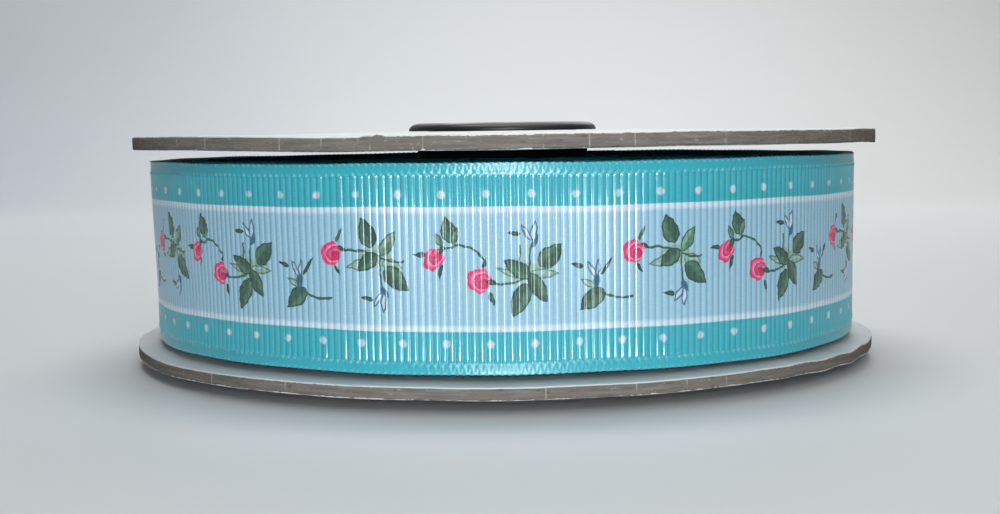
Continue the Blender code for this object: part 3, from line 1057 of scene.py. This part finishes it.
def make_ribbon():
    """The outermost turn and its free end, cut where the end begins to lift. Returns the end's angle."""
    hinge = math.atan2(HINGE[1], HINGE[0]) + math.tau
    tail = node_points("ribbon_tail")
    tip = tail[tail[:, 0].argmin()]
    tail_end = hinge + (math.atan2(tip[1], tip[0]) - hinge) % math.tau
    wrap = ribbon_strip("ribbon_wrap", TURN_START - TUCK, hinge - BEND_REACH)
    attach(wrap, "hub")
    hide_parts("ribbon_outer_turn")

    end = ribbon_strip("ribbon_free_end", hinge - BEND_REACH, tail_end, curl=TAIL_CURL)
    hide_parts("ribbon_tail")
    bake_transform(end)
    return tail_end


def make_tape(tail_end):
    """The clear tape that holds the free end down, saw-cut at both ends."""
    low, high = node_box("tail_tape")
    points = node_points("tail_tape")
    angle = np.arctan2(points[:, 1], points[:, 0]) % math.tau + math.tau
    start, end = angle.min(), angle.max()
    columns, rows = 97, 61
    up = np.linspace(low.z, high.z, rows)
    tooth = TOOTH_DEPTH * np.abs(2 * ((up / TOOTH_PITCH) % 1.0) - 1)
    share = np.linspace(0.0, 1.0, columns)
    a, u = np.meshgrid(share, up, indexing="ij")
    bite = np.broadcast_to(tooth, a.shape) / turn_radius(end)
    turn = start + bite + (end - start - 2 * bite) * a
    on_tail = turn_radius(turn) + CLOTH_THICKNESS / 2 + TAPE_STANDOFF + TAIL_CURL
    on_wrap = turn_radius(turn - math.tau) + CLOTH_THICKNESS / 2 + TAPE_STANDOFF
    step = smooth(turn, tail_end + math.radians(0.2), tail_end + math.radians(2.6))
    reach = on_tail + (on_wrap - on_tail) * step
    reach = reach + 0.02 * MM * np.sin(u / (1.7 * MM)) * np.sin(turn * 60)
    lift = mouth_lean(turn, u - RIBBON_LOW)
    shell = []
    for film in (0.0, TAPE_FILM):
        r = reach + lift + film
        shell.append(np.stack([r * np.cos(turn), r * np.sin(turn), u], axis=-1).reshape(-1, 3))
    count = columns * rows
    inside = grid_faces(columns, rows)
    faces = [face[::-1] for face in inside] + [tuple(i + count for i in face) for face in inside]
    rim = [i * rows for i in range(columns)]
    rim += [(columns - 1) * rows + j for j in range(1, rows)]
    rim += [i * rows + rows - 1 for i in range(columns - 2, -1, -1)]
    rim += [j for j in range(rows - 2, 0, -1)]
    for here, after in zip(rim, rim[1:] + rim[:1]):
        faces.append((here, after, after + count, here + count))
    tape = new_object("end_tape", np.concatenate(shell), faces, TAPE)
    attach(tape, "ribbon_end")
    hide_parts("tail_tape")


# ------------------------------------------------------------------ hub ----

def make_drum():
    """The moulded tube, drawn to meet the dished boards."""
    reach = node_radii("core_drum")
    inner, outer = reach.min(), reach.max()
    low, high = node_box("core_drum")
    bottom, top = low.z - BOARD_DISH * 0.9, high.z + BOARD_DISH * 0.9
    soft = 0.15 * MM
    profile = [(inner, top - soft), (inner, bottom + soft), (inner + soft, bottom), (outer - soft, bottom)]
    profile += [(outer, bottom + soft), (outer, top - soft), (outer - soft, top), (inner + soft, top)]
    drum = turned("moulded_drum", profile[::-1], 192, PLASTIC)
    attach(drum, "hub")
    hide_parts("core_drum")


def cut_away(piece, cutters):
    """Cuts the boxes, given as (centre, size, turn), out of a piece."""
    ends = (-0.5, 0.5)
    faces = [(0, 1, 3, 2), (4, 6, 7, 5), (0, 4, 5, 1), (2, 3, 7, 6), (0, 2, 6, 4), (1, 5, 7, 3)]
    for centre, size, turn in cutters:
        corners = [Vector((x * size[0], y * size[1], z * size[2])) for x in ends for y in ends for z in ends]
        spin = Matrix.Rotation(turn, 3, "Z")
        box = new_object("cutter", [spin @ corner + Vector(centre) for corner in corners], faces)
        cut = piece.modifiers.new("slit", "BOOLEAN")
        cut.object = box
        cut.solver = "EXACT"
        graph = bpy.context.evaluated_depsgraph_get()
        mesh = bpy.data.meshes.new_from_object(piece.evaluated_get(graph))
        piece.modifiers.clear()
        old, piece.data = piece.data, mesh
        bpy.data.meshes.remove(old)
        bpy.data.objects.remove(box)


def make_cap(node, side):
    """A hub cap: a low rim with a long soft edge, and a slit sleeve with a snap barb."""
    reach = node_radii(node)
    low, high = node_box(node)
    face = high.z if side > 0 else low.z
    depth = side * (face - node_points(node)[:, 2])
    bore, rim, tip = reach.min(), reach.max(), depth.max()
    thick = depth[reach > rim - 1 * MM].max()
    sleeve = bore + SLEEVE_WALL
    profile = [(bore, tip), (sleeve, tip), (sleeve + BARB_PROUD, tip - BARB_HEIGHT * 0.7)]
    profile += [(sleeve + BARB_PROUD, tip - BARB_HEIGHT), (sleeve, tip - BARB_HEIGHT)]
    profile += [(sleeve, thick + 0.2 * MM), (sleeve + 0.2 * MM, thick), (rim - 0.12 * MM, thick)]
    edge = thick - 0.1 * MM
    for step in range(11):
        turn = math.pi / 2 * step / 10
        profile.append((rim - EDGE_RUN * (1 - math.cos(turn)), edge * (1 - math.sin(turn))))
    profile += [(bore + 0.5 * MM, 0.0), (bore + 0.15 * MM, 0.08 * MM), (bore, 0.35 * MM)]
    placed = [(r, face - side * d) for r, d in profile]
    cap = turned(node + "_moulding", placed if side > 0 else placed[::-1], 256, PLASTIC)
    middle = (0.0, 0.0, face - side * (SLIT_START + tip / 2))
    bar = (4 * sleeve, SLIT_WIDTH, tip)
    cut_away(cap, [(middle, bar, math.radians(turn)) for turn in (45, 135)])
    cap.data.set_sharp_from_angle(angle=math.radians(40))
    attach(cap, "hub")
    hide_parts(node)


def dress_cad():
    """The tape at the core keeps its CAD shape."""
    mesh = frame["nodes"]["core_tape"].data
    mesh.materials.clear()
    mesh.materials.append(TAPE)


# ---------------------------------------------------------------- stage ----

def make_stage():
    """A pale floor that sweeps up into a backdrop, with painted light falloff across it. It throws little
    light back onto the object.
    """
    bend, back, half = 0.3, 0.45, 2.0
    level = -0.05 * MM
    run = [(-1.2, level), (0.0, level), (back, level)]
    run += [
        (back + bend * math.sin(turn), level + bend - bend * math.cos(turn))
        for turn in (math.radians(5 * step) for step in range(1, 19))
    ]
    run.append((back + bend, 1.8))
    points = [(x, y, z) for y, z in run for x in (-half, half)]
    faces = [(2 * i, 2 * i + 1, 2 * i + 3, 2 * i + 2) for i in range(len(run) - 1)]
    made, g = new_material("pale_sweep")
    place = object_place(g)
    x, _, _ = g.separate(place)
    cloud = g.noise(place, 3.0, 2.0, 0.5)
    # Painted light falloff: the sweep is darker and bluer to the left and lighter to the right.
    tone = g.mix(g.ramp(x, -0.45, 0.45), srgb(196, 202, 208), srgb(216, 217, 214))
    tone = g.mix(g.ramp(cloud, 0.4, 0.7, 0.0, 0.4), tone, srgb(222, 225, 226))
    path = g.node("ShaderNodeLightPath")
    shown = g.math("MAXIMUM", path.outputs["Is Camera Ray"], path.outputs["Is Glossy Ray"])
    g.look("Base Color", g.mix(shown, srgb(92, 94, 97), tone))
    g.look("Roughness", g.ramp(cloud, 0.3, 0.7, 0.55, 0.65))
    g.look("Specular IOR Level", 0.1)
    sweep = new_object("floor_and_backdrop", points, faces, made)


def make_camera():
    data = bpy.data.cameras.new("camera")
    data.lens = LENS
    data.sensor_width = 36.0
    data.clip_start = 0.01
    camera = bpy.data.objects.new("camera", data)
    bpy.context.scene.collection.objects.link(camera)
    camera.location = (CAMERA_ASIDE, -CAMERA_BACK, RIBBON_LOW + CAMERA_ABOVE_RIBBON)
    look_down = Matrix.Rotation(math.radians(90 - LOOK_DOWN), 4, "X")
    look_aside = Matrix.Rotation(math.radians(LOOK_ASIDE), 4, "Z")
    roll = Matrix.Rotation(math.radians(CAMERA_ROLL), 4, "Z")
    camera.matrix_world = Matrix.Translation(camera.location) @ look_aside @ look_down @ roll
    bpy.context.scene.camera = camera


def area_light(name, location, target, size, power, colour=(1.0, 1.0, 1.0), spread=180):
    """A soft lamp, whose grid keeps its light within spread, in degrees."""
    data = bpy.data.lights.new(name, "AREA")
    data.shape = "RECTANGLE"
    data.size, data.size_y = size
    data.energy = power
    data.color = colour
    data.spread = math.radians(spread)
    light = bpy.data.objects.new(name, data)
    light.location = location
    light.rotation_euler = (Vector(target) - Vector(location)).to_track_quat("-Z", "Y").to_euler()
    light.visible_camera = False
    bpy.context.scene.collection.objects.link(light)


def make_lights():
    centre = (0.0, 0.0, 0.017)
    area_light("camera_side", (-0.01, -0.5, 0.08), centre, (0.05, 0.12), 0.053, (0.93, 0.98, 1.0), 30)
    area_light("key", (0.1, -0.5, 0.3), centre, (0.25, 0.2), 0.07, (0.97, 0.99, 1.0), 40)
    area_light("ceiling", (0.0, 0.1, 0.9), centre, (0.6, 0.6), 2.8)
    area_light("backdrop_wash", (0.0, 0.2, 0.8), (0.0, 0.75, 0.25), (0.8, 0.3), 3.9)
    area_light("back_fill", (0.05, 0.6, 0.4), centre, (0.4, 0.3), 1.1)
    world = bpy.data.worlds.new("room")
    bpy.context.scene.world = world
    world.use_nodes = True
    g = Graph(world.node_tree)
    background = world.node_tree.nodes["Background"]
    background.inputs["Color"].default_value = (0.8, 0.86, 0.92, 1.0)
    shown = g.node("ShaderNodeLightPath").outputs["Is Camera Ray"]
    g.feed(background.inputs["Strength"], g.math("MULTIPLY_ADD", shown, 0.62, 0.1))


dress_cad()
make_boards()
make_roll()
make_drum()
make_cap("upper_hub_cap", 1)
make_cap("lower_hub_cap", -1)
make_tape(make_ribbon())
make_stage()
make_camera()
make_lights()
bpy.context.scene.view_settings.view_transform = "Standard"
